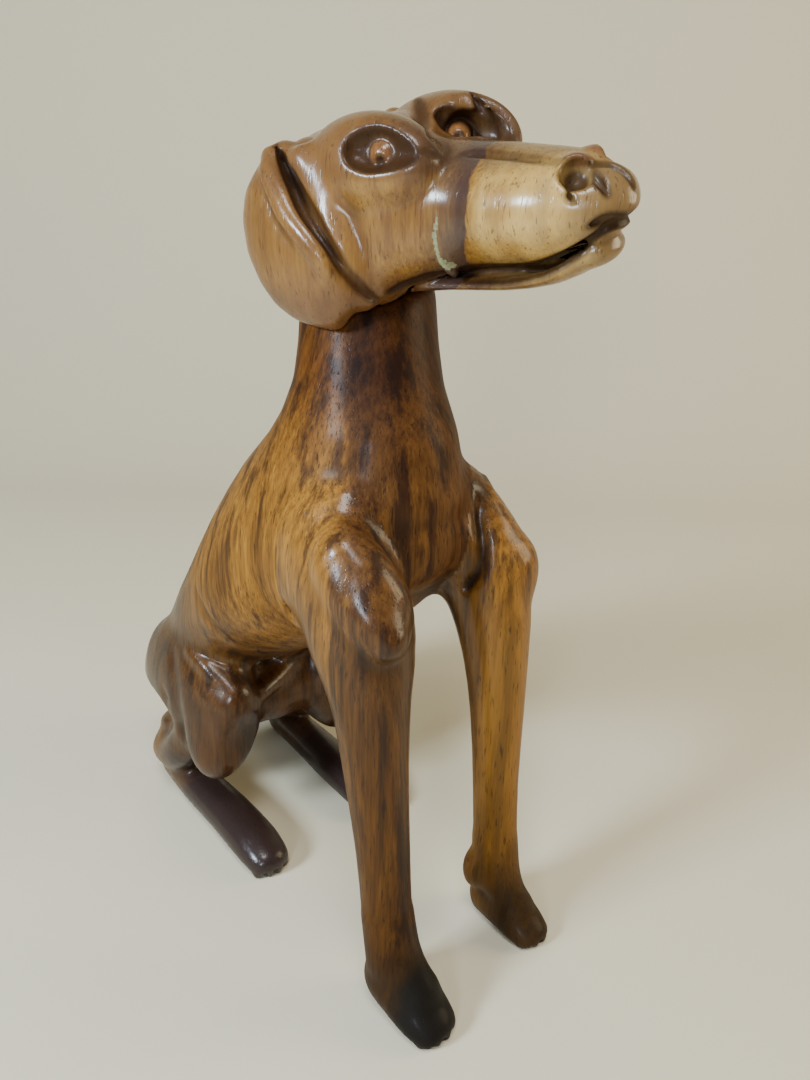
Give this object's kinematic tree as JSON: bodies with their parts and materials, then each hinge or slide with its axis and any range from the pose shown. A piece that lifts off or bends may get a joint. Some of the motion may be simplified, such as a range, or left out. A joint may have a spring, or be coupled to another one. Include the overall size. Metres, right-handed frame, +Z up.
{
  "type": "carved wooden dog figurine",
  "caption": "Varnished hardwood carving of a long-nosed hound sitting upright on straight forelegs, head turned to its left, ears folded back.",
  "frame": {"origin": "middle of the bounding box on the plane that the feet stand on", "axes": "+Z up, the dog faces -Y, +X is the dog's left"},
  "size_m": [0.094, 0.2208, 0.293],
  "materials": {
    "body_wood": "gloss varnish over red-brown vertical grain",
    "head_wood": "gloss varnish over honey-brown vertical grain",
    "leg_wood": "gloss varnish over brown grain, darker at the paws",
    "foot_wood": "gloss varnish over near-black stained wood",
    "eye_wood": "gloss varnish over red-brown wood",
    "filler": "satin wood putty"
  },
  "bodies": {
    "root": {"torso": "body_wood", "head": "head_wood", "lower_jaw": "head_wood", "nose_pad": "head_wood", "right_ear": "head_wood", "left_ear": "head_wood", "right_eye": "eye_wood", "left_eye": "eye_wood", "muzzle_filler": "filler", "right_foreleg": "leg_wood", "left_foreleg": "leg_wood", "right_thigh": "body_wood", "left_thigh": "body_wood", "right_hind_foot": "foot_wood", "left_hind_foot": "foot_wood", "tail": "body_wood"}
  },
  "joints": []
}
